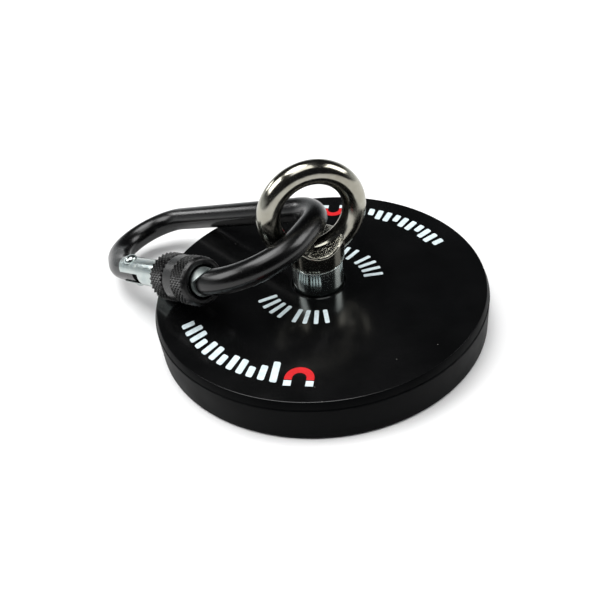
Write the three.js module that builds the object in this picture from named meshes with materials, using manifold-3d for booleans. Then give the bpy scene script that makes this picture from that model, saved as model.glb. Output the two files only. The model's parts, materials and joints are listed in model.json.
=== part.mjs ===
// Magnet fishing magnet: a rubber-coated disc magnet with a screwed-in lifting eye, and a
// screw-lock carabiner that hangs in the eye and lies tipped over on the disc.
// Millimetres, +Z up. The origin is the centre of the flat pull face, the eye stands in the XZ plane.

import * as THREE from 'three';
import { mergeVertices } from 'three/addons/utils/BufferGeometryUtils.js';
import Module from 'manifold-3d';

const wasm = await Module();
wasm.setup();

// ---- Driving dimensions ------------------------------------------------------------------------

const DISC_RADIUS = 33;
const DISC_HEIGHT = 8.5;
const TOP_FACE_RADIUS = 32.4;
const SHOULDER_HEIGHT = 7.05;
const FOOT_FILLET = 0.6;
const PULL_FACE_SKIN = 0.8;
const FIT_GAP = 0.15;
const TURNING_GAP = 0.1;
const EDGE_BREAK = 0.1;

const YOKE_RADIUS = 31;
const YOKE_BOTTOM = 4.25;
const YOKE_TOP = 7.45;
const YOKE_HOLE_RADIUS = 4.5;

const MAGNET_COUNT = 12;
const MAGNET_RADIUS = 5;
const MAGNET_CIRCLE_RADIUS = 23;

const BUSH_RADIUS = 5;
const BUSH_SPIGOT_RADIUS = 4.35;
const BUSH_TOP = 14.1;
const THREAD_RADIUS = 2.9;

const EYE_CENTRE_HEIGHT = 24.5;
const EYE_MEAN_RADIUS = 8.3;
const EYE_BAR_RADIUS = 2.25;
const EYE_FOOT_RADIUS = 5.55;
const EYE_FOOT_TOP = 18.8;
const EYE_SADDLE_RADIUS = 6.8;
const SHANK_END = 5;

const BAR_RADIUS = 2.5;
const HINGE_BEND = 9.2;
const SPINE_LENGTH = 36.2;
const EYE_BEND = 7.7;
const NOSE_BEND = 12.4;
const NOSE_BEND_CENTRE = new THREE.Vector2(32, -12.2);
const HINGE_BEND_CENTRE = new THREE.Vector2(2.4, -11);

// Where the carabiner lies: the start of its spine, then yaw, pitch and roll in degrees.
const CARABINER_POSITION = new THREE.Vector3(-21.731, 36.287, 8.363);
const CARABINER_YAW = -50.94;
const CARABINER_PITCH = -18.374;
const CARABINER_ROLL = 2.765;

// Stations along the gate line, measured from the hinge bend towards the nose.
const RIVET_STATION = 4.7;
const TONGUE_END = 7.2;
const HINGE_SLOT_END = 9.7;
const SPRING_BORE_END = 21;
const NOSE_TIP = 30.8;
const GATE_RADIUS = 2.8;
const GATE_END_RADIUS = 3.3;
const SHOULDER_RADIUS = 3.7;
const TONGUE_HALF_THICKNESS = 1;
const SLOT_HALF_WIDTH = 1.15;
const NOSE_HALF_THICKNESS = 1.5;
const NOSE_WEDGE_RUN = 1.97;
const NOSE_GAP = 0.6;
const NOSE_OVERLAP = 3;

const RIVET_RADIUS = 0.9;
const RIVET_HEAD_RADIUS = 1.5;
const RIVET_HEAD_HEIGHT = 1.25;
const RIVET_SEAT = 2.3;
const RIVET_SPOT_RADIUS = 1.7;

const SPRING_BORE_RADIUS = 1.9;
const PLUNGER_START = 7.5;
const PLUNGER_SHOULDER = 12.4;
const PLUNGER_END = 15;
const PLUNGER_RADIUS = 1.8;
const PLUNGER_STEM_RADIUS = 0.8;
const SPRING_START = 12.7;
const SPRING_END = 20.7;
const SPRING_TURNS = 7;
const SPRING_MEAN_RADIUS = 1.4;
const SPRING_WIRE_RADIUS = 0.2;

const SLEEVE_START = 18.1;
const SLEEVE_END = 29.9;
const SLEEVE_RADIUS = 4.75;
const SLEEVE_BAND_RADIUS = 4.55;
const SLEEVE_GROOVE_RADIUS = 4.3;
const SLEEVE_BORE_RADIUS = 2.87;
const SLEEVE_MOUTH_RADIUS = 3.25;
const SLEEVE_MOUTH_DEPTH = 3.5;
const KNURL_LENGTH = 4.2;
const GROOVE_WIDTH = 0.4;
const BAND_LENGTH = 2.8;

// Cutting solids reach past what they cut: by the margin, or clear across the bar and the tube.
const MARGIN = 1;
const CUT_REACH = 4;

// Facets round a full turn.
const FINE_FACETS = 72;
const ROUND_FACETS = 40;
const SMALL_FACETS = 20;

// ---- Materials ---------------------------------------------------------------------------------

function finish(color, roughness, metalness) {
  return new THREE.MeshStandardMaterial({ color, roughness, metalness });
}

const rubber = finish(0x141516, 0.42, 0);
const plainSteel = finish(0x8d8f92, 0.4, 1);
const nickel = finish(0xb9b8b2, 0.22, 1);
const zinc = finish(0xb4bec2, 0.28, 1);
const castEye = finish(0x8f8b84, 0.2, 1);
const blackBar = finish(0x101113, 0.35, 0.3);
const brightGate = finish(0xc9cfd1, 0.25, 1);
const springSteel = finish(0x9a9c9e, 0.3, 1);
const knurledBlack = finish(0x17181a, 0.5, 0.3);

// ---- Solids ------------------------------------------------------------------------------------

// A closed manifold solid from a three.js geometry, with its faces turned outwards.
function solid(geometry) {
  const bare = geometry.clone();
  bare.deleteAttribute('normal');
  bare.deleteAttribute('uv');
  const merged = mergeVertices(bare, 1e-4);
  const index = merged.index.array;
  const triangles = [];
  for (let i = 0; i < index.length; i += 3) {
    const [a, b, c] = [index[i], index[i + 1], index[i + 2]];
    if (a !== b && b !== c && c !== a) triangles.push(a, b, c);
  }
  if (signedVolume(merged.attributes.position, triangles) < 0) triangles.reverse();
  const vertProperties = new Float32Array(merged.attributes.position.array);
  const triVerts = new Uint32Array(triangles);
  return new wasm.Manifold(new wasm.Mesh({ numProp: 3, vertProperties, triVerts }));
}

function signedVolume(position, triangles) {
  const [a, b, c] = [new THREE.Vector3(), new THREE.Vector3(), new THREE.Vector3()];
  let volume = 0;
  for (let i = 0; i < triangles.length; i += 3) {
    a.fromBufferAttribute(position, triangles[i]);
    b.fromBufferAttribute(position, triangles[i + 1]);
    c.fromBufferAttribute(position, triangles[i + 2]);
    volume += a.dot(b.cross(c)) / 6;
  }
  return volume;
}

function toGeometry(manifold) {
  const mesh = manifold.getMesh();
  const geometry = new THREE.BufferGeometry();
  geometry.setAttribute('position', new THREE.BufferAttribute(mesh.vertProperties, 3));
  geometry.setIndex(new THREE.BufferAttribute(mesh.triVerts, 1));
  geometry.computeVertexNormals();
  return geometry;
}

function named(name, manifold, material) {
  const mesh = new THREE.Mesh(toGeometry(manifold), material);
  mesh.name = name;
  return mesh;
}

// A turned solid about +Z from [radius, height] pairs.
function turned(profile, segments) {
  const points = profile.map(([radius, height]) => new THREE.Vector2(radius, height));
  return solid(new THREE.LatheGeometry(points, segments).rotateX(Math.PI / 2));
}

// A turned solid about +X, for the pieces on the gate line.
function turnedAlongX(profile, segments) {
  const points = profile.map(([radius, station]) => new THREE.Vector2(radius, station));
  return solid(new THREE.LatheGeometry(points, segments).rotateZ(-Math.PI / 2));
}

function cylinder(radius, bottom, top, segments) {
  return turned([[0, bottom], [radius, bottom], [radius, top], [0, top]], segments);
}

function cylinderAlongX(radius, start, end, segments) {
  return turnedAlongX([[0, start], [radius, start], [radius, end], [0, end]], segments);
}

function box(xRange, yRange, zRange) {
  const size = [xRange, yRange, zRange].map(([low, high]) => high - low);
  const centre = [xRange, yRange, zRange].map(([low, high]) => (low + high) / 2);
  return solid(new THREE.BoxGeometry(...size).translate(...centre));
}

// ---- Disc magnet -------------------------------------------------------------------------------

function magnetPlace(index) {
  const angle = (index * 2 * Math.PI) / MAGNET_COUNT;
  const x = MAGNET_CIRCLE_RADIUS * Math.cos(angle);
  const y = MAGNET_CIRCLE_RADIUS * Math.sin(angle);
  return [x, y, 0];
}

// One overmoulded coat: the pockets for the plate and the magnets open to the bush hole.
function rubberCoat() {
  const filletMiddle = FOOT_FILLET * (1 - Math.SQRT1_2);
  let coat = turned([
    [0, 0],
    [DISC_RADIUS - FOOT_FILLET, 0],
    [DISC_RADIUS - filletMiddle, filletMiddle],
    [DISC_RADIUS, FOOT_FILLET],
    [DISC_RADIUS, SHOULDER_HEIGHT],
    [TOP_FACE_RADIUS + EDGE_BREAK, DISC_HEIGHT - EDGE_BREAK],
    [TOP_FACE_RADIUS, DISC_HEIGHT],
    [0, DISC_HEIGHT],
  ], FINE_FACETS);
  const [plateLow, plateHigh] = [YOKE_BOTTOM - FIT_GAP, YOKE_TOP + FIT_GAP];
  const plateRoom = cylinder(YOKE_RADIUS + FIT_GAP, plateLow, plateHigh, FINE_FACETS);
  const bushRoom = cylinder(BUSH_RADIUS + TURNING_GAP, YOKE_TOP, DISC_HEIGHT + MARGIN, ROUND_FACETS);
  coat = coat.subtract(plateRoom).subtract(bushRoom);
  for (let i = 0; i < MAGNET_COUNT; i += 1) {
    const pocket = cylinder(MAGNET_RADIUS + FIT_GAP, PULL_FACE_SKIN, YOKE_BOTTOM, SMALL_FACETS);
    coat = coat.subtract(pocket.translate(magnetPlace(i)));
  }
  return coat;
}

function yokePlate() {
  return turned([
    [YOKE_HOLE_RADIUS, YOKE_BOTTOM],
    [YOKE_RADIUS, YOKE_BOTTOM],
    [YOKE_RADIUS, YOKE_TOP],
    [YOKE_HOLE_RADIUS, YOKE_TOP],
    [YOKE_HOLE_RADIUS, YOKE_BOTTOM],
  ], ROUND_FACETS);
}

function discMagnet() {
  return cylinder(MAGNET_RADIUS, PULL_FACE_SKIN + FIT_GAP, YOKE_BOTTOM - FIT_GAP, SMALL_FACETS);
}

// The neck: its spigot sits in the plate's hole, and its bore takes the eye's threaded shank.
function threadedBush() {
  const bore = THREAD_RADIUS + TURNING_GAP;
  const chamfer = 0.25;
  return turned([
    [bore, YOKE_BOTTOM],
    [BUSH_SPIGOT_RADIUS, YOKE_BOTTOM],
    [BUSH_SPIGOT_RADIUS, YOKE_TOP + TURNING_GAP],
    [BUSH_RADIUS, YOKE_TOP + TURNING_GAP],
    [BUSH_RADIUS, BUSH_TOP - chamfer],
    [BUSH_RADIUS - chamfer, BUSH_TOP],
    [bore, BUSH_TOP],
    [bore, YOKE_BOTTOM],
  ], ROUND_FACETS);
}

// ---- Lifting eye -------------------------------------------------------------------------------

// The foot stands on the bush, and its top is hollowed to a saddle that runs up into the ring.
function eyeBolt() {
  const ring = solid(new THREE.TorusGeometry(EYE_MEAN_RADIUS, EYE_BAR_RADIUS, 16, 48)
    .rotateX(Math.PI / 2)
    .translate(0, 0, EYE_CENTRE_HEIGHT));
  const footBottom = BUSH_TOP + FIT_GAP;
  const chamfer = 0.4;
  const footAndShank = turned([
    [0, SHANK_END],
    [THREAD_RADIUS - chamfer, SHANK_END],
    [THREAD_RADIUS, SHANK_END + chamfer],
    [THREAD_RADIUS, footBottom],
    [EYE_FOOT_RADIUS - chamfer, footBottom],
    [EYE_FOOT_RADIUS, footBottom + chamfer],
    [EYE_FOOT_RADIUS, EYE_FOOT_TOP],
    [0, EYE_FOOT_TOP],
  ], ROUND_FACETS);
  const saddle = cylinder(EYE_SADDLE_RADIUS, -EYE_FOOT_RADIUS, EYE_FOOT_RADIUS, ROUND_FACETS)
    .rotate([90, 0, 0])
    .translate([0, 0, EYE_CENTRE_HEIGHT]);
  return footAndShank.subtract(saddle).add(ring);
}

// ---- Carabiner outline -------------------------------------------------------------------------

// The four bends of the bar in its own plane, in clockwise order from the hinge.
const BENDS = [
  { centre: HINGE_BEND_CENTRE, radius: HINGE_BEND },
  { centre: new THREE.Vector2(0, -HINGE_BEND), radius: HINGE_BEND },
  { centre: new THREE.Vector2(SPINE_LENGTH, -EYE_BEND), radius: EYE_BEND },
  { centre: NOSE_BEND_CENTRE, radius: NOSE_BEND },
];

// The outward direction, as an angle, where the straight from one bend to the next touches both.
function tangentAngle(from, to) {
  const step = to.centre.clone().sub(from.centre);
  return step.angle() + Math.acos((from.radius - to.radius) / step.length());
}

function pointOnBend(bend, angle) {
  const arm = new THREE.Vector2(Math.cos(angle), Math.sin(angle));
  return arm.multiplyScalar(bend.radius).add(bend.centre);
}

const GATE_NORMAL_ANGLE = tangentAngle(BENDS[3], BENDS[0]);
const GATE_LINE_START = pointOnBend(BENDS[0], GATE_NORMAL_ANGLE);
const GATE_LINE_ANGLE = GATE_NORMAL_ANGLE + Math.PI / 2;

function onGateLine(station) {
  const along = new THREE.Vector2(Math.cos(GATE_LINE_ANGLE), Math.sin(GATE_LINE_ANGLE));
  return along.multiplyScalar(station).add(GATE_LINE_START);
}

// A 2D path laid in the XY plane, so that a section can be swept along it.
class FlatCurve extends THREE.Curve {
  constructor(path) {
    super();
    this.path = path;
  }

  getPoint(t, target = new THREE.Vector3()) {
    const point = this.path.getPoint(t);
    return target.set(point.x, point.y, 0);
  }
}

// From the hinge tongue round the spine and the eye bend to the nose.
function barPath() {
  const path = new THREE.Path();
  const start = onGateLine(TONGUE_END);
  path.moveTo(start.x, start.y);
  path.lineTo(GATE_LINE_START.x, GATE_LINE_START.y);
  let angle = GATE_NORMAL_ANGLE;
  BENDS.forEach((bend, i) => {
    const next = BENDS[(i + 1) % BENDS.length];
    const leaving = tangentAngle(bend, next);
    path.absarc(bend.centre.x, bend.centre.y, bend.radius, angle, leaving, true);
    angle = leaving;
  });
  return path;
}

function onGateFrame(manifold) {
  const degrees = THREE.MathUtils.radToDeg(GATE_LINE_ANGLE);
  return manifold.rotate([0, 0, degrees]).translate([GATE_LINE_START.x, GATE_LINE_START.y, 0]);
}

// ---- Carabiner pieces on the gate line: x runs towards the nose, y inwards, z across the plane --

// A prism across the bar, from its outline in the plane of station and height.
function crossPrism(outline) {
  const halfDepth = 6;
  const shape = new THREE.Shape(outline.map(([station, height]) => new THREE.Vector2(station, height)));
  const prism = new THREE.ExtrudeGeometry(shape, { depth: 2 * halfDepth, bevelEnabled: false });
  return solid(prism.rotateX(Math.PI / 2).translate(0, halfDepth, 0));
}

// The wedge line of the nose, at a station offset, up to a height above and below the bar.
function wedgeOutline(tip, farStation) {
  const height = CUT_REACH;
  const run = (height - NOSE_HALF_THICKNESS) * NOSE_WEDGE_RUN;
  return [
    [farStation, -height],
    [tip + run, -height],
    [tip, -NOSE_HALF_THICKNESS],
    [tip, NOSE_HALF_THICKNESS],
    [tip + run, height],
    [farStation, height],
  ];
}

function rivetHole() {
  const reach = BAR_RADIUS + GATE_RADIUS;
  const hole = cylinder(RIVET_RADIUS + TURNING_GAP, -reach, reach, SMALL_FACETS);
  return hole.translate([RIVET_STATION, 0, 0]);
}

// The bent bar: flattened to a tongue at the hinge, and to a wedge at the nose.
function carabinerBody() {
  const section = new THREE.Shape();
  section.absarc(0, 0, BAR_RADIUS, 0, 2 * Math.PI, false);
  let bar = solid(new THREE.ExtrudeGeometry(section, {
    steps: 76,
    curveSegments: 12,
    extrudePath: new FlatCurve(barPath()),
  }));
  const reach = BAR_RADIUS + MARGIN;
  for (const side of [-1, 1]) {
    const heights = [side * TONGUE_HALF_THICKNESS, side * reach].sort((a, b) => a - b);
    const cheekRoom = box([RIVET_STATION, TONGUE_END + MARGIN], [-reach, reach], heights)
      .add(cylinder(SHOULDER_RADIUS, ...heights, ROUND_FACETS).translate([RIVET_STATION, 0, 0]));
    bar = bar.subtract(onGateFrame(cheekRoom));
  }
  bar = bar.subtract(onGateFrame(rivetHole()));
  return bar.subtract(onGateFrame(crossPrism(wedgeOutline(NOSE_TIP, NOSE_TIP - CUT_REACH))));
}

// The tube that closes the carabiner: slotted over the tongue, notched over the nose.
function gate() {
  const rimStart = RIVET_STATION - GATE_END_RADIUS;
  const tubeEnd = NOSE_TIP + NOSE_OVERLAP;
  const across = [-CUT_REACH, CUT_REACH];
  let tube = cylinderAlongX(GATE_RADIUS, rimStart - MARGIN, tubeEnd, ROUND_FACETS);
  const roundEnd = cylinder(GATE_END_RADIUS, ...across, ROUND_FACETS)
    .translate([RIVET_STATION, 0, 0])
    .add(box([RIVET_STATION, tubeEnd + MARGIN], across, across));
  const hingeSlot = box([0, HINGE_SLOT_END], across, [-SLOT_HALF_WIDTH, SLOT_HALF_WIDTH]);
  const springBore = cylinderAlongX(SPRING_BORE_RADIUS, 0, SPRING_BORE_END, SMALL_FACETS);
  tube = tube.intersect(roundEnd).subtract(hingeSlot).subtract(springBore).subtract(rivetHole());
  for (const side of [-1, 1]) {
    const heights = [side * RIVET_SEAT, side * (GATE_RADIUS + MARGIN)].sort((a, b) => a - b);
    const spotFace = cylinder(RIVET_SPOT_RADIUS, ...heights, SMALL_FACETS);
    tube = tube.subtract(spotFace.translate([RIVET_STATION, 0, 0]));
  }
  return tube.subtract(crossPrism(wedgeOutline(NOSE_TIP - NOSE_GAP, tubeEnd + 2 * CUT_REACH)));
}

// The hinge pin, with a domed head on each side.
function gateRivet() {
  const seat = RIVET_SEAT + TURNING_GAP;
  const steps = 4;
  const topDome = Array.from({ length: steps + 1 }, (_, i) => {
    const angle = (i / steps) * (Math.PI / 2);
    return [RIVET_HEAD_RADIUS * Math.cos(angle), seat + RIVET_HEAD_HEIGHT * Math.sin(angle)];
  });
  const bottomDome = topDome.map(([r, h]) => [r, -h]).reverse();
  const shank = [[RIVET_RADIUS, -seat], [RIVET_RADIUS, seat]];
  return turned([...bottomDome, ...shank, ...topDome], SMALL_FACETS);
}

function springPlunger() {
  const chamfer = 0.3;
  return turnedAlongX([
    [0, PLUNGER_START],
    [PLUNGER_RADIUS - chamfer, PLUNGER_START],
    [PLUNGER_RADIUS, PLUNGER_START + chamfer],
    [PLUNGER_RADIUS, PLUNGER_SHOULDER],
    [PLUNGER_STEM_RADIUS, PLUNGER_SHOULDER],
    [PLUNGER_STEM_RADIUS, PLUNGER_END],
    [0, PLUNGER_END],
  ], SMALL_FACETS);
}

class Helix extends THREE.Curve {
  getPoint(t, target = new THREE.Vector3()) {
    const angle = t * SPRING_TURNS * 2 * Math.PI;
    const station = SPRING_START + t * (SPRING_END - SPRING_START);
    const y = SPRING_MEAN_RADIUS * Math.cos(angle);
    const z = SPRING_MEAN_RADIUS * Math.sin(angle);
    return target.set(station, y, z);
  }
}

function gateSpring() {
  const wire = new THREE.Shape();
  wire.absarc(0, 0, SPRING_WIRE_RADIUS, 0, 2 * Math.PI, false);
  const options = { steps: SPRING_TURNS * 10, curveSegments: 4, extrudePath: new Helix() };
  return solid(new THREE.ExtrudeGeometry(wire, options));
}

// The knurled nut that screws along the gate and over the nose.
function lockSleeve() {
  const chamfer = 0.4;
  const grooveStart = SLEEVE_START + KNURL_LENGTH;
  const bandStart = grooveStart + GROOVE_WIDTH;
  const bandEnd = bandStart + BAND_LENGTH;
  const mouthStart = SLEEVE_END - SLEEVE_MOUTH_DEPTH;
  return turnedAlongX([
    [SLEEVE_BORE_RADIUS, SLEEVE_START],
    [SLEEVE_RADIUS - chamfer, SLEEVE_START],
    [SLEEVE_RADIUS, SLEEVE_START + chamfer],
    [SLEEVE_RADIUS, grooveStart],
    [SLEEVE_GROOVE_RADIUS, grooveStart],
    [SLEEVE_GROOVE_RADIUS, bandStart],
    [SLEEVE_BAND_RADIUS, bandStart + EDGE_BREAK],
    [SLEEVE_BAND_RADIUS, bandEnd],
    [SLEEVE_RADIUS, bandEnd + 2 * EDGE_BREAK],
    [SLEEVE_RADIUS, SLEEVE_END - 2 * chamfer],
    [SLEEVE_RADIUS - chamfer, SLEEVE_END],
    [SLEEVE_MOUTH_RADIUS, SLEEVE_END],
    [SLEEVE_MOUTH_RADIUS, mouthStart],
    [SLEEVE_BORE_RADIUS, mouthStart],
    [SLEEVE_BORE_RADIUS, SLEEVE_START],
  ], ROUND_FACETS);
}

// ---- Assembly ----------------------------------------------------------------------------------

function discGroup() {
  const group = new THREE.Group();
  group.add(named('rubber_coat', rubberCoat(), rubber));
  group.add(named('steel_yoke_plate', yokePlate(), plainSteel));
  const magnet = discMagnet();
  for (let i = 0; i < MAGNET_COUNT; i += 1) {
    const mesh = named(`disc_magnet_${String(i + 1).padStart(2, '0')}`, magnet, nickel);
    mesh.position.set(...magnetPlace(i));
    group.add(mesh);
  }
  group.add(named('threaded_bush', threadedBush(), zinc));
  return group;
}

function gateLineGroup() {
  const group = new THREE.Group();
  const rivet = named('gate_rivet', gateRivet(), brightGate);
  rivet.position.set(RIVET_STATION, 0, 0);
  group.add(rivet);
  group.add(named('gate', gate(), brightGate));
  group.add(named('spring_plunger', springPlunger(), brightGate));
  group.add(named('gate_spring', gateSpring(), springSteel));
  group.add(named('lock_sleeve', lockSleeve(), knurledBlack));
  group.position.set(GATE_LINE_START.x, GATE_LINE_START.y, 0);
  group.rotation.z = GATE_LINE_ANGLE;
  return group;
}

function carabinerGroup() {
  const group = new THREE.Group();
  group.add(named('carabiner_body', carabinerBody(), blackBar));
  group.add(gateLineGroup());
  group.position.copy(CARABINER_POSITION);
  const [roll, pitch, yaw] = [CARABINER_ROLL, CARABINER_PITCH, CARABINER_YAW]
    .map((angle) => THREE.MathUtils.degToRad(angle));
  group.rotation.set(roll, pitch, yaw, 'ZYX');
  return group;
}

const fishingMagnet = new THREE.Group();
fishingMagnet.add(discGroup());
fishingMagnet.add(named('eye_bolt', eyeBolt(), castEye));
fishingMagnet.add(carabinerGroup());

export default fishingMagnet;
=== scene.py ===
"""Magnet fishing magnet: the visual model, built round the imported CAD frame.

Shapes are written in millimetres, each in the frame of the part it belongs to, and turned into metres
when the mesh is made.
"""

import json
import math

import bmesh
import bpy
from mathutils import Matrix, Vector, noise


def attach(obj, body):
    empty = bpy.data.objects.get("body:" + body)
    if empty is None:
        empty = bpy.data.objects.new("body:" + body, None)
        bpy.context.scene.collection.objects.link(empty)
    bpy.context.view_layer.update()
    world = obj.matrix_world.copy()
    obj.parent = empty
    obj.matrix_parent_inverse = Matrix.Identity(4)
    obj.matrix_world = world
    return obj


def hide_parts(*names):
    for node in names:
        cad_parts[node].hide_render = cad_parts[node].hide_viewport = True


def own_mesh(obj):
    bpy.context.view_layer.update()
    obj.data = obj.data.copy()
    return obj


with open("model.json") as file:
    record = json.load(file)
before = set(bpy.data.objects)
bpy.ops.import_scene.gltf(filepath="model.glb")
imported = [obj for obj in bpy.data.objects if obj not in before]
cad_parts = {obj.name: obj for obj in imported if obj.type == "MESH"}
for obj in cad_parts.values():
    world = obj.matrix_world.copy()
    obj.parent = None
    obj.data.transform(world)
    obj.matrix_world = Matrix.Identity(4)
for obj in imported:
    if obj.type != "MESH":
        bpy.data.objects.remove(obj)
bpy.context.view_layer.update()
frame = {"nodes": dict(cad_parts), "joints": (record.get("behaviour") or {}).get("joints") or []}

MM = 0.001
TURN = 2 * math.pi
ON_AXIS = 1e-6
SLIVER = 0.001

# ---- Camera ------------------------------------------------------------------------------------

CAMERA_TARGET_MM = Vector((-3.67, 2.85, 2.84))
CAMERA_DISTANCE_MM = 144.1
CAMERA_AZIMUTH = -12.26
CAMERA_ELEVATION = 38.59
CAMERA_ROLL = -7.31
CAMERA_LENS = 41.97
CAMERA_CLIP = (0.01, 50)


def make_camera():
    data = bpy.data.cameras.new("camera")
    data.lens = CAMERA_LENS
    data.clip_start = CAMERA_CLIP[0]
    data.clip_end = CAMERA_CLIP[1]
    camera = bpy.data.objects.new("camera", data)
    turn = (
        Matrix.Rotation(math.radians(CAMERA_AZIMUTH), 4, "Z")
        @ Matrix.Rotation(math.radians(90 - CAMERA_ELEVATION), 4, "X")
    )
    back = Matrix.Translation((0, 0, CAMERA_DISTANCE_MM * MM))
    roll = Matrix.Rotation(math.radians(CAMERA_ROLL), 4, "Z")
    camera.matrix_world = Matrix.Translation(CAMERA_TARGET_MM * MM) @ turn @ back @ roll
    bpy.context.scene.collection.objects.link(camera)
    bpy.context.scene.camera = camera


# ---- Frames of the moving parts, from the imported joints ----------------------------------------

JOINTS = {joint["name"]: joint for joint in frame["joints"]}


def frame_of(origin, x_axis, z_axis):
    """A matrix in metres with this origin, x axis and z axis."""
    x, z = Vector(x_axis).normalized(), Vector(z_axis).normalized()
    y = z.cross(x)
    return Matrix.Translation(origin) @ Matrix((x, y, z)).transposed().to_4x4()


# The gate's frame: origin at the rivet, x along the gate towards the nose, y inwards.
GATE_FRAME = frame_of(
    JOINTS["gate_open"]["pos_m"], JOINTS["sleeve_slide"]["axis"], JOINTS["gate_open"]["axis"]
)
PART_FRAME = Matrix.Identity(4)

# The mesh attribute that holds where a point is in its piece's own frame, in metres.
OWN_PLACE = "own_place"

# ---- Small mesh library ------------------------------------------------------------------------


def rounded_path(corners, steps=6):
    """The points of a polyline whose corners, given as (x, y, radius), are replaced by arcs."""
    points = []
    for i, (x, y, radius) in enumerate(corners):
        here = Vector((x, y))
        if radius == 0:
            points.append(here)
            continue
        before = (Vector(corners[i - 1][:2]) - here).normalized()
        after = (Vector(corners[(i + 1) % len(corners)][:2]) - here).normalized()
        half = before.angle(after) / 2
        centre = here + (before + after).normalized() * (radius / math.sin(half))
        start = here + before * (radius / math.tan(half)) - centre
        sweep = (math.pi - 2 * half) * (1 if before.cross(after) < 0 else -1)
        for k in range(steps + 1):
            turn = Matrix.Rotation(sweep * k / steps, 2)
            points.append(centre + turn @ start)
    return points


def lathe(profile, segments, closed=False):
    """A surface turned about +Z from points of (radius, height), with ends on the axis or closed."""
    bm = bmesh.new()
    rings = []
    for radius, height in profile:
        if radius < ON_AXIS:
            rings.append([bm.verts.new((0, 0, height))])
            continue
        rings.append([
            bm.verts.new((radius * math.cos(TURN * k / segments),
                          radius * math.sin(TURN * k / segments), height))
            for k in range(segments)
        ])
    pairs = list(zip(rings, rings[1:]))
    if closed:
        pairs.append((rings[-1], rings[0]))
    for low, high in pairs:
        for k in range(segments):
            n = (k + 1) % segments
            corners = [low[k % len(low)], low[n % len(low)], high[n % len(high)], high[k % len(high)]]
            face = list(dict.fromkeys(corners))
            if len(face) > 2:
                bm.faces.new(face)
    bmesh.ops.recalc_face_normals(bm, faces=bm.faces)
    return bm


def along_x(bm):
    """Turns a lathe about +Z into one about +X, its heights becoming stations along x."""
    bmesh.ops.rotate(bm, verts=bm.verts, matrix=Matrix.Rotation(math.pi / 2, 3, "Y"))
    return bm


def block(low, high):
    """A box between two corners."""
    bm = bmesh.new()
    bmesh.ops.create_cube(bm, size=1)
    for v in bm.verts:
        v.co = Vector([lo + (hi - lo) * (c + 0.5) for lo, hi, c in zip(low, high, v.co)])
    return bm


def prism(outline, low, high, place=lambda x, y, depth: (x, y, depth)):
    """A closed prism over a 2D outline, between two depths."""
    bm = bmesh.new()
    bottom = [bm.verts.new(place(x, y, low)) for x, y in outline]
    top = [bm.verts.new(place(x, y, high)) for x, y in outline]
    bm.faces.new(bottom)
    bm.faces.new(top)
    for i in range(len(outline)):
        n = (i + 1) % len(outline)
        bm.faces.new([bottom[i], bottom[n], top[n], top[i]])
    bmesh.ops.recalc_face_normals(bm, faces=bm.faces)
    return bm


def disc(radius, low, high, segments=64):
    """A closed round plate about the z axis."""
    angles = [TURN * k / segments for k in range(segments)]
    return prism([(radius * math.cos(a), radius * math.sin(a)) for a in angles], low, high)


def circle(centre, first, second, radius, across):
    """Points on a circle that lies in the plane of two directions."""
    angles = [TURN * k / across for k in range(across)]
    return [centre + radius * (first * math.cos(a) + second * math.sin(a)) for a in angles]


def skin(rings, loop=False):
    """A tube through rings of points, closed into a loop or capped at both ends."""
    bm = bmesh.new()
    rows = [[bm.verts.new(point) for point in ring] for ring in rings]
    followers = rows[1:] + rows[:1] if loop else rows[1:]
    for one, two in zip(rows, followers):
        for k in range(len(one)):
            n = (k + 1) % len(one)
            bm.faces.new([one[k], one[n], two[n], two[k]])
    if not loop:
        bm.faces.new(rows[0])
        bm.faces.new(rows[-1])
    bmesh.ops.recalc_face_normals(bm, faces=bm.faces)
    return bm


def loose_object(name, bm):
    """An object in the scene made from a mesh, which it uses up."""
    mesh = bpy.data.meshes.new(name)
    bm.to_mesh(mesh)
    bm.free()
    obj = bpy.data.objects.new(name, mesh)
    bpy.context.scene.collection.objects.link(obj)
    return obj


def apply_modifiers(obj):
    """Bakes an object's modifiers into its mesh."""
    graph = bpy.context.evaluated_depsgraph_get()
    made = bpy.data.meshes.new_from_object(obj.evaluated_get(graph))
    obj.modifiers.clear()
    old = obj.data
    obj.data = made
    bpy.data.meshes.remove(old)


def boolean(bm, operation, *others):
    """bm joined with, or cut by, other closed meshes."""
    obj = loose_object("boolean_base", bm)
    tools = [loose_object("boolean_tool", other) for other in others]
    for tool in tools:
        modifier = obj.modifiers.new("boolean", "BOOLEAN")
        modifier.operation = operation
        modifier.solver = "EXACT"
        modifier.object = tool
    apply_modifiers(obj)
    result = bmesh.new()
    result.from_mesh(obj.data)
    for used in [obj, *tools]:
        mesh = used.data
        bpy.data.objects.remove(used)
        bpy.data.meshes.remove(mesh)
    return result


def piece(name, bm, place, material, body, replaced=(), sharp=32):
    """Makes a finished piece of the object: millimetres in its own frame, riding on a body."""
    bmesh.ops.scale(bm, verts=bm.verts, vec=(MM, MM, MM))
    obj = loose_object(name, bm)
    mesh = obj.data
    own_place = mesh.attributes.new(OWN_PLACE, "FLOAT_VECTOR", "POINT")
    for value, vertex in zip(own_place.data, mesh.vertices):
        value.vector = vertex.co
    mesh.transform(place)
    mesh.shade_smooth()
    mesh.set_sharp_from_angle(angle=math.radians(sharp))
    mesh.materials.clear()
    mesh.materials.append(material)
    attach(obj, body)
    if replaced:
        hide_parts(*replaced)
    return obj


# ---- Materials ---------------------------------------------------------------------------------


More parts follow.
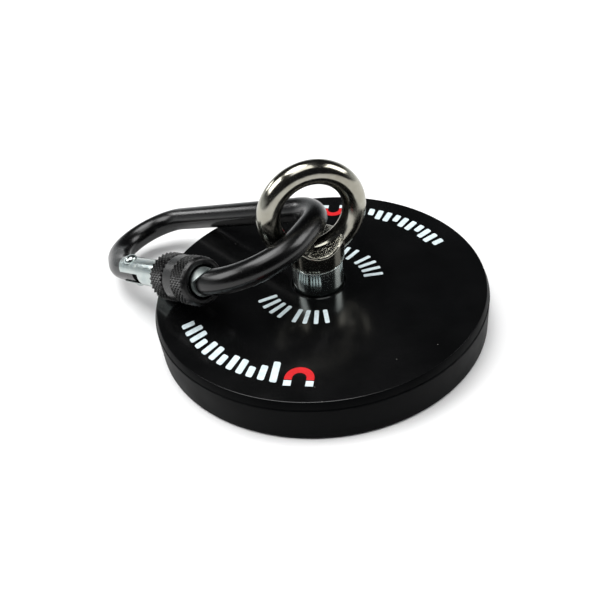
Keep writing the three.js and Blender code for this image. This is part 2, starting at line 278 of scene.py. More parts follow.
class Paint:
    """A Principled material and short names for the nodes that feed it."""

    def __init__(self, name, color, roughness, metallic=0.0, cad_node=False, **sockets):
        self.material = bpy.data.materials.new(name)
        self.material.use_nodes = True
        tree = self.material.node_tree
        self.nodes = tree.nodes
        self.links = tree.links
        self.shader = self.nodes["Principled BSDF"]
        self.shader.inputs["Base Color"].default_value = (*color, 1)
        self.shader.inputs["Roughness"].default_value = roughness
        self.shader.inputs["Metallic"].default_value = metallic
        for socket, value in sockets.items():
            self.shader.inputs[socket.replace("_", " ")].default_value = value
        if cad_node:
            self.coordinates = self.nodes.new("ShaderNodeTexCoord").outputs["Object"]
        else:
            place = self.nodes.new("ShaderNodeAttribute")
            place.attribute_name = OWN_PLACE
            self.coordinates = place.outputs["Vector"]

    def feed(self, socket, value):
        """Links a node's output to a socket, or sets a plain value on it."""
        if isinstance(value, bpy.types.NodeSocket):
            self.links.new(value, socket)
        else:
            socket.default_value = value

    def stretched(self, x, y, z):
        """The piece's own coordinates, in metres, scaled on each axis."""
        node = self.nodes.new("ShaderNodeMapping")
        node.inputs["Scale"].default_value = (x, y, z)
        self.feed(node.inputs["Vector"], self.coordinates)
        return node.outputs["Vector"]

    def noise(self, size_mm, detail=3.0, rough=0.55, vector=None, distortion=0.0):
        """Noise with features of about this size."""
        node = self.nodes.new("ShaderNodeTexNoise")
        node.inputs["Scale"].default_value = 1 / (size_mm * MM) if vector is None else 1
        node.inputs["Detail"].default_value = detail
        node.inputs["Roughness"].default_value = rough
        node.inputs["Distortion"].default_value = distortion
        self.feed(node.inputs["Vector"], self.coordinates if vector is None else vector)
        return node.outputs["Fac"]

    def specks(self, cell_mm, speck_mm, share):
        """1 on small round specks, one to a cell, in this share of the cells."""
        node = self.nodes.new("ShaderNodeTexVoronoi")
        node.inputs["Scale"].default_value = 1 / (cell_mm * MM)
        self.feed(node.inputs["Vector"], self.coordinates)
        near = self.math("LESS_THAN", node.outputs["Distance"], speck_mm / cell_mm)
        split = self.nodes.new("ShaderNodeSeparateColor")
        self.feed(split.inputs["Color"], node.outputs["Color"])
        chosen = self.math("LESS_THAN", split.outputs["Red"], share)
        return self.math("MULTIPLY", near, chosen)

    def math(self, operation, a, b=0.0):
        node = self.nodes.new("ShaderNodeMath")
        node.operation = operation
        self.feed(node.inputs[0], a)
        self.feed(node.inputs[1], b)
        return node.outputs[0]

    def span(self, value, low, high, to_low=0.0, to_high=1.0):
        """A value mapped from one range to another, and held at its ends."""
        node = self.nodes.new("ShaderNodeMapRange")
        for socket, number in zip(list(node.inputs)[1:5], (low, high, to_low, to_high)):
            socket.default_value = number
        self.feed(node.inputs["Value"], value)
        return node.outputs["Result"]

    def mix(self, factor, a, b):
        """A colour between two colours."""
        node = self.nodes.new("ShaderNodeMix")
        node.data_type = "RGBA"
        self.feed(node.inputs["Factor"], factor)
        for socket, color in ((node.inputs["A"], a), (node.inputs["B"], b)):
            self.feed(socket, (*color, 1) if isinstance(color, tuple) else color)
        return node.outputs["Result"]

    def axis(self, name):
        """One of the piece's own coordinates, in metres."""
        node = self.nodes.new("ShaderNodeSeparateXYZ")
        self.feed(node.inputs["Vector"], self.coordinates)
        return node.outputs[name]

    def radius(self, first, second):
        """Distance from an axis, in metres, from the two coordinates across it."""
        squares = [self.math("POWER", self.axis(name), 2.0) for name in (first, second)]
        return self.math("SQRT", self.math("ADD", *squares))

    def color(self, value):
        self.feed(self.shader.inputs["Base Color"], value)

    def roughness(self, value):
        self.feed(self.shader.inputs["Roughness"], value)

    def bump(self, *layers):
        """Stacks bumps, each a (height, depth in mm) pair."""
        normal = None
        for height, depth_mm in layers:
            node = self.nodes.new("ShaderNodeBump")
            node.inputs["Strength"].default_value = 1.0
            node.inputs["Distance"].default_value = depth_mm * MM
            self.feed(node.inputs["Height"], height)
            if normal is not None:
                self.feed(node.inputs["Normal"], normal)
            normal = node.outputs["Normal"]
        self.feed(self.shader.inputs["Normal"], normal)


def darker(color, share):
    return tuple(channel * share for channel in color)


def rubber_top():
    """Moulded black rubber, smooth on top: faint cloudiness, a fine tooth, scuffs and a little dust."""
    paint = Paint("rubber_smooth", (0.0035, 0.0036, 0.0038), 0.17, Specular_IOR_Level=0.42)
    cloud = paint.noise(9.0, 4)
    fine = paint.noise(0.35, 3)
    scuff = paint.noise(1.0, 5, 0.65, paint.stretched(1500, 220, 700), 1.2)
    dust = paint.specks(2.6, 0.09, 0.34)
    haze = paint.mix(paint.span(cloud, 0.35, 0.75), (0.0018, 0.0019, 0.0020), (0.0032, 0.0033, 0.0035))
    paint.color(paint.mix(dust, haze, (0.11, 0.105, 0.095)))
    tooth = paint.span(fine, 0.3, 0.7, -0.015, 0.015)
    gloss = paint.math("ADD", paint.span(cloud, 0.3, 0.7, 0.15, 0.20), tooth)
    worn = paint.math("ADD", gloss, paint.span(scuff, 0.64, 0.76, 0.0, 0.08))
    paint.roughness(paint.math("ADD", worn, paint.math("MULTIPLY", dust, 0.4)))
    paint.bump((paint.noise(14.0, 2), 0.08), (fine, 0.0015), (dust, 0.03))
    return paint.material


def rubber_side():
    """The same rubber on the wall, the bevel and below, from a blasted mould: matt, with pores."""
    paint = Paint("rubber_matt", (0.0035, 0.0037, 0.0040), 0.42, Specular_IOR_Level=0.03)
    cloud = paint.noise(7.0, 4)
    pores = paint.specks(0.9, 0.09, 0.3)
    shade = paint.span(cloud, 0.35, 0.75)
    paint.color(paint.mix(shade, (0.0010, 0.0012, 0.0014), (0.0022, 0.0024, 0.0027)))
    paint.roughness(paint.span(cloud, 0.3, 0.7, 0.36, 0.48))
    paint.bump((paint.noise(0.3, 3), 0.006), (pores, -0.02), (paint.noise(11.0, 2), 0.06))
    return paint.material


def ink(name, color):
    """Pad-printed ink: a thin even film with small pinholes and slightly uneven cover."""
    paint = Paint(name, color, 0.5, Specular_IOR_Level=0.4)
    cover = paint.noise(0.9, 4, 0.6)
    pinholes = paint.specks(0.55, 0.05, 0.3)
    thin = darker(color, 0.78)
    film = paint.mix(paint.span(cover, 0.35, 0.7), thin, color)
    paint.color(paint.mix(pinholes, film, darker(color, 0.35)))
    paint.roughness(paint.span(cover, 0.3, 0.7, 0.42, 0.58))
    paint.bump((cover, 0.006))
    return paint.material


def zinc():
    """Bright zinc plate over fine turning marks."""
    gloss = {"Anisotropic": 0.6, "Anisotropic_Rotation": 0.25}
    paint = Paint("zinc_plate", (0.66, 0.71, 0.70), 0.36, 1.0, **gloss)
    round_axis = paint.nodes.new("ShaderNodeTangent")
    round_axis.direction_type = "RADIAL"
    round_axis.axis = "Z"
    paint.feed(paint.shader.inputs["Tangent"], round_axis.outputs["Tangent"])
    rings = paint.noise(1.0, 2, 0.5, paint.stretched(150, 150, 9000))
    bloom = paint.noise(1.6, 2)
    paint.color(paint.mix(paint.span(bloom, 0.35, 0.7), (0.58, 0.66, 0.64), (0.72, 0.77, 0.74)))
    paint.roughness(paint.span(bloom, 0.3, 0.7, 0.16, 0.21))
    paint.bump((rings, 0.0004))
    return paint.material


# Where the eye's saddle is left unpolished, in metres of the eye's own frame. Each is a fade.
SADDLE_BESIDE_RING = (0.00165, 0.0019)
SADDLE_RADIUS = (0.0050, 0.0054)
SADDLE_BASE = (0.0165, 0.0170)
SADDLE_TOP = (0.0190, 0.0198)


def cast_steel():
    """Polished cast stainless steel: soft waviness, and an unpolished grain down in the saddle."""
    paint = Paint("cast_stainless", (0.34, 0.33, 0.285), 0.16, 1.0)
    across = paint.math("ABSOLUTE", paint.axis("Y"))
    beside_ring = paint.span(across, *SADDLE_BESIDE_RING)
    in_foot = paint.span(paint.radius("X", "Y"), *SADDLE_RADIUS, 1.0, 0.0)
    above_base = paint.span(paint.axis("Z"), *SADDLE_BASE)
    below_ring = paint.span(paint.axis("Z"), *SADDLE_TOP, 1.0, 0.0)
    in_height = paint.math("MULTIPLY", above_base, below_ring)
    in_saddle = paint.math("MULTIPLY", beside_ring, in_height)
    rough_zone = paint.math("MULTIPLY", in_saddle, in_foot)
    grain = paint.noise(0.9, 3, 0.6)
    cloud = paint.noise(3.5, 4)
    pits = paint.specks(1.3, 0.06, 0.25)
    clean = paint.mix(paint.span(cloud, 0.3, 0.7), (0.27, 0.255, 0.21), (0.40, 0.395, 0.345))
    paint.color(paint.mix(paint.math("MULTIPLY", pits, 0.6), clean, (0.08, 0.07, 0.06)))
    polish = paint.span(cloud, 0.3, 0.7, 0.13, 0.20)
    paint.roughness(paint.math("ADD", polish, paint.math("MULTIPLY", rough_zone, 0.04)))
    grit = paint.math("MULTIPLY", grain, rough_zone)
    paint.bump((paint.noise(5.0, 2), 0.06), (paint.noise(0.8, 3), 0.006), (grit, 0.6), (pits, -0.03))
    return paint.material


def black_anodised():
    """Satin black anodised aluminium with a fine grain and faint rubs."""
    paint = Paint("anodised_black", (0.003, 0.003, 0.0032), 0.24, 0.0, Specular_IOR_Level=0.5)
    cloud = paint.noise(5.0, 4)
    rubs = paint.noise(0.7, 5, 0.7)
    grain = paint.noise(0.12, 2)
    base = paint.mix(paint.span(cloud, 0.35, 0.7), (0.0008, 0.0008, 0.0009), (0.0016, 0.0016, 0.0017))
    paint.color(paint.mix(paint.span(rubs, 0.66, 0.78, 0.0, 0.4), base, (0.016, 0.015, 0.014)))
    satin = paint.span(cloud, 0.3, 0.7, 0.21, 0.28)
    paint.roughness(paint.math("ADD", satin, paint.span(rubs, 0.6, 0.75, 0.0, 0.07)))
    paint.bump((grain, 0.003), (paint.noise(4.0, 2), 0.02))
    return paint.material


def knurled_black():
    """Black anodised knurling, rubbed grey on its highest points; the grey on the crests is partly wear
    and partly a painted highlight standing in for the glints on the peaks.
    """
    paint = Paint("anodised_knurl", (0.005, 0.005, 0.0053), 0.3, 0.0, Specular_IOR_Level=0.42)
    reach = paint.radius("Y", "Z")
    crests = paint.span(reach, (SLEEVE_RADIUS - 0.13) * MM, (SLEEVE_RADIUS - 0.01) * MM)
    # Painted highlight in part: the grey on the crests is wear, and also stands in for the glints that
    # light puts on the knurl's peaks.
    worn = paint.math("MULTIPLY", crests, paint.span(paint.noise(1.2, 4), 0.4, 0.65))
    shade = paint.span(paint.noise(2.5, 3), 0.3, 0.7)
    base = paint.mix(shade, (0.0015, 0.0015, 0.0016), (0.004, 0.004, 0.0041))
    paint.color(paint.mix(paint.math("MULTIPLY", worn, 0.5), base, (0.09, 0.09, 0.085)))
    paint.roughness(paint.span(paint.noise(0.6, 4), 0.3, 0.7, 0.24, 0.38))
    paint.bump((paint.noise(0.15, 3), 0.004))
    return paint.material


def bright_aluminium():
    """Drawn and tumbled aluminium: lines along the tube, small dents and a duller turned tip."""
    paint = Paint("aluminium_bright", (0.58, 0.62, 0.61), 0.2, 1.0)
    lines = paint.noise(1.0, 3, 0.6, paint.stretched(500, 7000, 7000))
    cloud = paint.noise(2.2, 4)
    tip = paint.span(paint.axis("X"), (GATE_TAPER_START - 0.5) * MM, (GATE_TAPER_START + 0.1) * MM)
    paint.color(paint.mix(paint.span(cloud, 0.3, 0.7), (0.36, 0.42, 0.42), (0.50, 0.54, 0.52)))
    gloss = paint.span(cloud, 0.3, 0.7, 0.16, 0.26)
    drawn = paint.math("ADD", gloss, paint.span(lines, 0.3, 0.7, -0.03, 0.05))
    paint.roughness(paint.math("ADD", drawn, paint.math("MULTIPLY", tip, 0.25)))
    paint.bump((lines, 0.005), (paint.noise(1.5, 3), 0.008))
    return paint.material


def plain_steel(name, color, roughness, cad_node=True):
    """Bare steel for the pieces inside, with rolling lines and a little staining."""
    paint = Paint(name, color, roughness, 1.0, cad_node)
    stain = paint.noise(4.0, 5)
    paint.color(paint.mix(paint.span(stain, 0.35, 0.7), darker(color, 0.7), color))
    paint.roughness(paint.span(stain, 0.3, 0.7, roughness - 0.08, roughness + 0.1))
    paint.bump((paint.noise(1.0, 3, 0.6, paint.stretched(4000, 300, 4000)), 0.006))
    return paint.material


# ---- Disc --------------------------------------------------------------------------------------

DISC_RADIUS = 33.0
DISC_HEIGHT = 8.5
DISC_EDGE = 0.6
BEVEL_WIDTH = 0.6
TOP_FACE_RADIUS = DISC_RADIUS - BEVEL_WIDTH
TOP_EDGE = 0.22
SHOULDER_HEIGHT = 7.05
LIP_RADIUS = 5.5
LIP_TOP = 8.6
LIP_SLOPE = 0.25
COAT_SEGMENTS = 288

# Heights of the rings on the plain wall, which keep its shading even.
WALL_RINGS = (1.2, 4.0)

# The parting line between wall and bevel, as (inset from the wall, rise above the shoulder).
PARTING_LINE = ((0, -0.45), (0, -0.15), (0.05, 0), (0.14, 0.06), (0.22, 0.4))
PARTING_REACH = 0.1

BUSH_RADIUS = 5.0
BUSH_TOP = 14.1
BUSH_BOTTOM = 4.25
BUSH_SHELF = 7.55
BUSH_STEM_RADIUS = 4.35
BUSH_BORE = 3.02
BUSH_GAP = 0.08

# The room inside the coat for the plate, and below it the ring-shaped room for the magnets.
PLATE_ROOM = (31.15, 4.1, 7.6)
MAGNET_ROOM = (17.8, 28.2, 0.8)


def flash_offset(angle):
    """How far the parting line's flash is torn back, in mm, at an angle round the disc."""
    ragged = noise.noise(Vector((math.cos(angle), math.sin(angle), 0)) * 9)
    fine = noise.noise(Vector((math.cos(angle), math.sin(angle), 3)) * 40)
    return max(0.0, 0.04 + 0.05 * ragged + 0.09 * fine)


def coat_outline():
    """The coat's section: up the outside to the neck, and back along the room inside."""
    bore = BUSH_RADIUS + BUSH_GAP
    outside = rounded_path([
        (0, 0, 0),
        (DISC_RADIUS, 0, DISC_EDGE),
        *[(DISC_RADIUS, height, 0) for height in WALL_RINGS],
        *[(DISC_RADIUS - inset, SHOULDER_HEIGHT + rise, 0) for inset, rise in PARTING_LINE],
        (TOP_FACE_RADIUS, DISC_HEIGHT, TOP_EDGE),
        (LIP_RADIUS + LIP_SLOPE, DISC_HEIGHT, 0.2),
        (LIP_RADIUS - 0.1, LIP_TOP, 0.13),
        (BUSH_RADIUS + 0.35, LIP_TOP, 0.12),
        (bore, LIP_TOP - 0.5, 0),
    ])
    plate_radius, plate_low, plate_high = PLATE_ROOM
    ring_inner, ring_outer, ring_low = MAGNET_ROOM
    inside = [
        (bore, plate_high), (plate_radius, plate_high), (plate_radius, plate_low),
        (ring_outer, plate_low), (ring_outer, ring_low), (ring_inner, ring_low),
        (ring_inner, plate_low), (0, plate_low),
    ]
    return [tuple(point) for point in outside] + inside


def make_coat(smooth, matt):
    """The rubber overmould: a moulded disc with a bevelled rim, a parting line and a lip."""
    bm = lathe(coat_outline(), COAT_SEGMENTS)
    for v in bm.verts:
        radius = v.co.xy.length
        if radius > TOP_FACE_RADIUS and abs(v.co.z - SHOULDER_HEIGHT) < PARTING_REACH:
            shrink = 1 - flash_offset(math.atan2(v.co.y, v.co.x)) / radius
            v.co.x *= shrink
            v.co.y *= shrink
    coat = piece("rubber_coat_moulded", bm, PART_FRAME, smooth, "magnet", ["rubber_coat"])
    coat.data.materials.append(matt)
    for face in coat.data.polygons:
        faces_up = face.normal.z > 0.9
        face.material_index = 0 if faces_up else 1


def make_bush(material):
    """The turned neck, with its plain bore and the narrower stem that sits in the plate."""
    profile = rounded_path([
        (BUSH_BORE, BUSH_BOTTOM, 0.1),
        (BUSH_STEM_RADIUS, BUSH_BOTTOM, 0.15),
        (BUSH_STEM_RADIUS, BUSH_SHELF, 0),
        (BUSH_RADIUS, BUSH_SHELF, 0.1),
        (BUSH_RADIUS, BUSH_TOP, 0.28),
        (BUSH_BORE, BUSH_TOP, 0.3),
    ])
    bm = lathe([tuple(p) for p in profile], 128, closed=True)
    piece("threaded_bush_turned", bm, PART_FRAME, material, "magnet", ["threaded_bush"])


# ---- Printed marks -----------------------------------------------------------------------------

INK_THICKNESS = 0.02
INK_SINK = 0.01


def ink_plate(outline):
    """A closed plate of ink on the disc's top face, sunk slightly into it."""
    points = [tuple(point) for point in outline]
    return prism(points, DISC_HEIGHT - INK_SINK, DISC_HEIGHT + INK_THICKNESS)


def sector_bar(radius_low, radius_high, angle, width, lean=0.0):
    """A rounded bar of printed ink that stands radially on the disc, as a closed thin plate."""
    half = width / 2
    corner = min(half * 0.6, 0.35)
    outline = rounded_path([
        (radius_low, -half, corner),
        (radius_high, -half, corner),
        (radius_high, half, corner),
        (radius_low, half, corner),
    ], 4)
    turn = Matrix.Rotation(math.radians(angle), 2)
    middle = (radius_low + radius_high) / 2
    return ink_plate([turn @ Vector((x, y + (x - middle) * lean)) for x, y in outline])


def join(parts):
    """One mesh from several, which it uses up."""
    whole = bmesh.new()
    for part in parts:
        mesh = bpy.data.meshes.new("joined")
        part.to_mesh(mesh)
        part.free()
        whole.from_mesh(mesh)
        bpy.data.meshes.remove(mesh)
    return whole


OUTER_RADIUS = 26.6
OUTER_START = -123.6
OUTER_BARS = 12
OUTER_BAR = (3.5, 1.3)
OUTER_GAP = 0.78
TALL_BAR = 4.9
SHORT_BAR = 2.52
SHORT_EVERY = 3

INNER_RADIUS = 10.9
INNER_START = -98.5
INNER_BARS = 8
INNER_SPACE_AFTER = 4
INNER_BAR = (3.9, 0.85)
INNER_GAP = 1.0
INNER_TURN = 162
BAR_LEAN = 0.16


def degrees_along(length, radius):
    return math.degrees(length / radius)


def outer_row(start):
    """Slanted bars in a row round the rim: the first is tall, and each third is a short one."""
    height, width = OUTER_BAR
    bars = []
    for i in range(OUTER_BARS):
        angle = start - degrees_along(width / 2 + i * (width + OUTER_GAP), OUTER_RADIUS)
        length = TALL_BAR if i == 0 else height
        if i % SHORT_EVERY == SHORT_EVERY - 1:
            length = SHORT_BAR
        low = OUTER_RADIUS + height / 2 - length
        bars.append(sector_bar(low, OUTER_RADIUS + height / 2, angle, width, BAR_LEAN))
    return bars


def inner_row(start):
    """Thin bars in a row round the neck, in two groups."""
    height, width = INNER_BAR
    bars = []
    for i in range(INNER_BARS):
        along = width / 2 + i * (width + INNER_GAP) + (INNER_GAP if i >= INNER_SPACE_AFTER else 0)
        angle = start - degrees_along(along, INNER_RADIUS)
        bars.append(sector_bar(INNER_RADIUS - height / 2, INNER_RADIUS + height / 2, angle, width))
    return bars


# The horseshoe pictogram: its place on the disc, and its parts as shares of its outer radius.
HORSESHOE_ANGLE = -115.2
HORSESHOE_PLACE = 26.8
HORSESHOE_RADIUS = 2.6
HORSESHOE_INNER = 0.48
HORSESHOE_BOW_END = 0.165
HORSESHOE_TIP = (0.231, 0.715)


def horseshoe(angle):
    """A horseshoe magnet pictogram: its red bow, and its two pale tips."""
    outer, inner = HORSESHOE_RADIUS, HORSESHOE_RADIUS * HORSESHOE_INNER
    bow_end = -HORSESHOE_RADIUS * HORSESHOE_BOW_END
    tip_start, tip_end = [-HORSESHOE_RADIUS * share for share in HORSESHOE_TIP]
    steps = 24
    angles = [math.pi * k / steps for k in range(steps + 1)]
    round_bow = [Vector((math.cos(a), math.sin(a))) for a in angles]
    bow = [
        (outer, bow_end), *[outer * p for p in round_bow], (-outer, bow_end),
        (-inner, bow_end), *[inner * p for p in reversed(round_bow)], (inner, bow_end),
    ]
    tips = []
    for side in (-1, 1):
        near, far = side * inner, side * outer
        tips.append([(near, tip_start), (far, tip_start), (far, tip_end), (near, tip_end)])
    turn = Matrix.Rotation(math.radians(angle + 90), 2)
    centre = Vector((math.cos(math.radians(angle)), math.sin(math.radians(angle)))) * HORSESHOE_PLACE
    plates = [ink_plate([centre + turn @ Vector(p) for p in outline]) for outline in [bow, *tips]]
    return plates[0], plates[1:]


def make_marks(white, red):
    """Generic printing in four places: two outer rows with a pictogram, and two inner rows."""
    white_parts, red_parts = [], []
    for half_turn in (0, 180):
        white_parts += outer_row(OUTER_START + half_turn)
        white_parts += inner_row(INNER_START + (INNER_TURN if half_turn else 0))
        bow, tips = horseshoe(HORSESHOE_ANGLE + half_turn)
        red_parts.append(bow)
        white_parts += tips
    piece("printed_marks_white", join(white_parts), PART_FRAME, white, "magnet")
    piece("printed_marks_red", join(red_parts), PART_FRAME, red, "magnet")


# ---- Lifting eye -------------------------------------------------------------------------------

EYE_CENTRE = 24.5
EYE_MEAN_RADIUS = 8.3
EYE_BAR_RADIUS = 2.25
EYE_FOOT_RADIUS = 5.5
EYE_FOOT_BOTTOM = 14.25
EYE_FOOT_TOP = 18.8
EYE_SADDLE_RADIUS = 6.8
EYE_SADDLE_REACH = 8
CAST_VOXEL = 0.16
CAST_SMOOTHING = 8
SHANK_RADIUS = 2.9
SHANK_BOTTOM = 5.0
SHANK_OVERLAP = 0.3


def torus(mean, bar, around, across):
    """A ring about the y axis."""
    outs = [Vector((math.cos(TURN * i / around), 0, math.sin(TURN * i / around))) for i in range(around)]
    return skin([circle(out * mean, out, Vector((0, 1, 0)), bar, across) for out in outs], loop=True)


def make_eye(material):
    """The cast eye: ring and saddle foot run together with soft cast fillets."""
    foot = lathe([tuple(p) for p in rounded_path([
        (0, EYE_FOOT_BOTTOM, 0),
        (EYE_FOOT_RADIUS, EYE_FOOT_BOTTOM, 0.5),
        (EYE_FOOT_RADIUS, EYE_FOOT_TOP, 0.3),
        (0, EYE_FOOT_TOP, 0),
    ])], 96)
    saddle = disc(EYE_SADDLE_RADIUS, -EYE_SADDLE_REACH, EYE_SADDLE_REACH, 96)
    bmesh.ops.rotate(saddle, verts=saddle.verts, matrix=Matrix.Rotation(math.pi / 2, 3, "X"))
    bmesh.ops.translate(saddle, verts=saddle.verts, vec=(0, 0, EYE_CENTRE))
    foot = boolean(foot, "DIFFERENCE", saddle)
    ring = torus(EYE_MEAN_RADIUS, EYE_BAR_RADIUS, 160, 48)
    bmesh.ops.translate(ring, verts=ring.verts, vec=(0, 0, EYE_CENTRE))
    obj = loose_object("cast", boolean(foot, "UNION", ring))
    remesh = obj.modifiers.new("voxels", "REMESH")
    remesh.mode = "VOXEL"
    remesh.voxel_size = CAST_VOXEL
    smooth = obj.modifiers.new("fillets", "SMOOTH")
    smooth.factor = 0.5
    smooth.iterations = CAST_SMOOTHING
    apply_modifiers(obj)
    bm = bmesh.new()
    bm.from_mesh(obj.data)
    bpy.data.objects.remove(obj)
    piece("eye_cast", bm, PART_FRAME, material, "eye", ["eye_bolt"], sharp=80)
    shank_top = EYE_FOOT_BOTTOM + SHANK_OVERLAP
    shank = lathe([tuple(p) for p in rounded_path([
        (0, SHANK_BOTTOM, 0),
        (SHANK_RADIUS, SHANK_BOTTOM, 0.4),
        (SHANK_RADIUS, shank_top, 0),
        (0, shank_top, 0),
    ])], 64)
    piece("eye_shank", shank, PART_FRAME, material, "eye")


# ---- Carabiner ---------------------------------------------------------------------------------

BAR_RADIUS = 2.5
HINGE_BEND = 9.2
SPINE_LENGTH = 36.2
EYE_BEND = 7.7
NOSE_BEND = 12.4
RIVET_STATION = 4.7

# The bends as (centre, radius), from the hinge round by the spine and the eye to the nose.
BENDS = [
    (Vector((2.4, -11.0)), HINGE_BEND),
    (Vector((0, -HINGE_BEND)), HINGE_BEND),
    (Vector((SPINE_LENGTH, -EYE_BEND)), EYE_BEND),
    (Vector((32.0, -12.2)), NOSE_BEND),
]
SPINE_BEND = 1
BEND_STEP = 0.45
TONGUE_STEPS = 9
SPINE_STEPS = 40

# Distances along the gate, from the rivet towards the nose.
TONGUE_END = 2.5
SLOT_END = 5.0
NOSE_TIP = 26.1
NOSE_GAP = 0.6
NOSE_HALF_THICKNESS = 1.5
NOSE_WEDGE_RUN = 1.97
TONGUE_HALF_THICKNESS = 1.0
SLOT_HALF_WIDTH = 1.15
SHOULDER_RADIUS = 3.7
WEDGE_REACH = (4.0, 6.0)
CUT_REACH = 4.0
RIVET_SEAT = 2.4
RIVET_HEAD_RADIUS = 1.48
RIVET_HEAD_HEIGHT = 1.1
RIVET_HEAD_RIM = 0.12
RIVET_HEAD_EDGE = 0.08
RIVET_SHANK_RADIUS = 0.9
RIVET_HOLE_RADIUS = 1.0
RIVET_SPOT_RADIUS = 1.7
RIVET_SPOT_FLOOR = 2.3
SPRING_BORE_RADIUS = 1.9
SPRING_BORE_END = 16.3
SPRING_BORE_CONE = 0.9
GATE_RADIUS = 2.8
GATE_TAPER_START = 25.3
GATE_TAPER = math.radians(13)
GATE_END_RADIUS = 3.3


def tangent_angle(start, end):
    """Outward angle where the straight from one bend to the next touches both."""
    step = end[0] - start[0]
    return math.atan2(step.y, step.x) + math.acos((start[1] - end[1]) / step.length)


def bend_point(bend, angle):
    """The point on a bend at an angle about its centre."""
    return bend[0] + Vector((math.cos(angle), math.sin(angle))) * bend[1]


GATE_NORMAL = tangent_angle(BENDS[3], BENDS[0])
GATE_START = bend_point(BENDS[0], GATE_NORMAL)
GATE_ANGLE = GATE_NORMAL + math.pi / 2
GATE_ALONG = Vector((math.cos(GATE_ANGLE), math.sin(GATE_ANGLE)))


def bar_line():
    """Points and headings along the bar's centreline, from the hinge tongue round to the nose."""
    line = []
    tongue = GATE_START + GATE_ALONG * (RIVET_STATION + TONGUE_END)
    back = -GATE_ALONG
    for k in range(TONGUE_STEPS):
        line.append((tongue.lerp(GATE_START, k / TONGUE_STEPS), back))
    angle = GATE_NORMAL
    for i, bend in enumerate(BENDS):
        leaving = tangent_angle(bend, BENDS[(i + 1) % len(BENDS)])
        sweep = (angle - leaving) % TURN
        steps = max(2, round(sweep * bend[1] / BEND_STEP))
        for k in range(steps + 1):
            a = angle - sweep * k / steps
            line.append((bend_point(bend, a), Vector((math.sin(a), -math.cos(a)))))
        if i == SPINE_BEND:
            start, end = line[-1][0], bend_point(BENDS[i + 1], leaving)
            for k in range(1, SPINE_STEPS):
                line.append((start.lerp(end, k / SPINE_STEPS), Vector((1, 0))))
        angle = leaving
    return line


def swept_bar(line, radius, across):
    """A round bar along a flat line of points and headings."""
    up = Vector((0, 0, 1))
    return skin([
        circle(point.to_3d(), Vector((-heading.y, heading.x, 0)), up, radius, across)
        for point, heading in line
    ])


def wedge_prism(tip, far):
    """The nose's wedge, across the bar: flat in the middle, sloping off above and below."""
    height, depth = WEDGE_REACH
    run = (height - NOSE_HALF_THICKNESS) * NOSE_WEDGE_RUN
    outline = [
        (far, -height), (tip + run, -height), (tip, -NOSE_HALF_THICKNESS),
        (tip, NOSE_HALF_THICKNESS), (tip + run, height), (far, height),
    ]
    return prism(outline, -depth, depth, lambda x, z, y: (x, y, z))


def make_body(material):
    """The bent bar, in the gate's frame, cut to a tongue at the hinge and a wedge at the nose."""
    bm = swept_bar(bar_line(), BAR_RADIUS, 48)
    rivet = GATE_START + GATE_ALONG * RIVET_STATION
    bmesh.ops.translate(bm, verts=bm.verts, vec=(-rivet.x, -rivet.y, 0))
    bmesh.ops.rotate(bm, verts=bm.verts, matrix=Matrix.Rotation(-GATE_ANGLE, 3, "Z"))
    cutters = [wedge_prism(NOSE_TIP, NOSE_TIP - CUT_REACH), disc(RIVET_HOLE_RADIUS, -CUT_REACH, CUT_REACH)]
    for side in (-1, 1):
        low, high = sorted((side * TONGUE_HALF_THICKNESS, side * CUT_REACH))
        cutters.append(disc(SHOULDER_RADIUS, low, high, 96))
        cutters.append(block((0, -CUT_REACH, low + SLIVER), (TONGUE_END + 1, CUT_REACH, high + SLIVER)))
    bm = boolean(bm, "DIFFERENCE", *cutters)
    piece("carabiner_bar", bm, GATE_FRAME, material, "carabiner", ["carabiner_body"])


def make_gate(material):
    """The gate tube: slotted over the tongue, bored for the spring, notched over the nose."""
    start, end = -GATE_END_RADIUS - 1, NOSE_TIP + 3
    end_radius = GATE_RADIUS - (end - GATE_TAPER_START) * math.tan(GATE_TAPER)
    tube = along_x(lathe([
        (0, start),
        (GATE_RADIUS, start),
        (GATE_RADIUS, GATE_TAPER_START),
        (end_radius, end),
        (0, end),
    ], 96))
    keep = disc(GATE_END_RADIUS, -CUT_REACH, CUT_REACH, 96)
    keep = boolean(keep, "UNION", block((0, -5, -4.5), (end + 1, 5, 4.5)))
    tube = boolean(tube, "INTERSECT", keep)
    bore = along_x(lathe([
        (0, -8), (SPRING_BORE_RADIUS, -8), (SPRING_BORE_RADIUS, SPRING_BORE_END),
        (0, SPRING_BORE_END + SPRING_BORE_CONE),
    ], 48))
    cutters = [
        block((-8, -CUT_REACH, -SLOT_HALF_WIDTH), (SLOT_END, CUT_REACH, SLOT_HALF_WIDTH)),
        bore,
        disc(RIVET_HOLE_RADIUS, -6, 6, 48),
        disc(RIVET_SPOT_RADIUS, RIVET_SPOT_FLOOR, CUT_REACH, 48),
        disc(RIVET_SPOT_RADIUS, -CUT_REACH, -RIVET_SPOT_FLOOR, 48),
        wedge_prism(NOSE_TIP - NOSE_GAP, end + 8),
    ]
    tube = boolean(tube, "DIFFERENCE", *cutters)
    piece("gate_tube", tube, GATE_FRAME, material, "gate", ["gate"])


def make_rivet(material):
    """The hinge pin: a shank with a domed and rimmed head on each side."""
    steps = 12
    rim = RIVET_SEAT + RIVET_HEAD_RIM
    head = [(RIVET_HEAD_RADIUS - RIVET_HEAD_EDGE, RIVET_SEAT), (RIVET_HEAD_RADIUS, rim)]
    for k in range(1, steps + 1):
        angle = math.pi / 2 * k / steps
        rise = RIVET_HEAD_HEIGHT * math.sin(angle) ** 0.9
        head.append((RIVET_HEAD_RADIUS * math.cos(angle), rim + rise))
    head[-1] = (0, head[-1][1])
    under = [(r, -z) for r, z in reversed(head)]
    shank = [(RIVET_SHANK_RADIUS, -RIVET_SEAT), (RIVET_SHANK_RADIUS, RIVET_SEAT)]
    bm = lathe([*under, *shank, *head], 64)
    piece("rivet_domed", bm, GATE_FRAME, material, "carabiner", ["gate_rivet"])


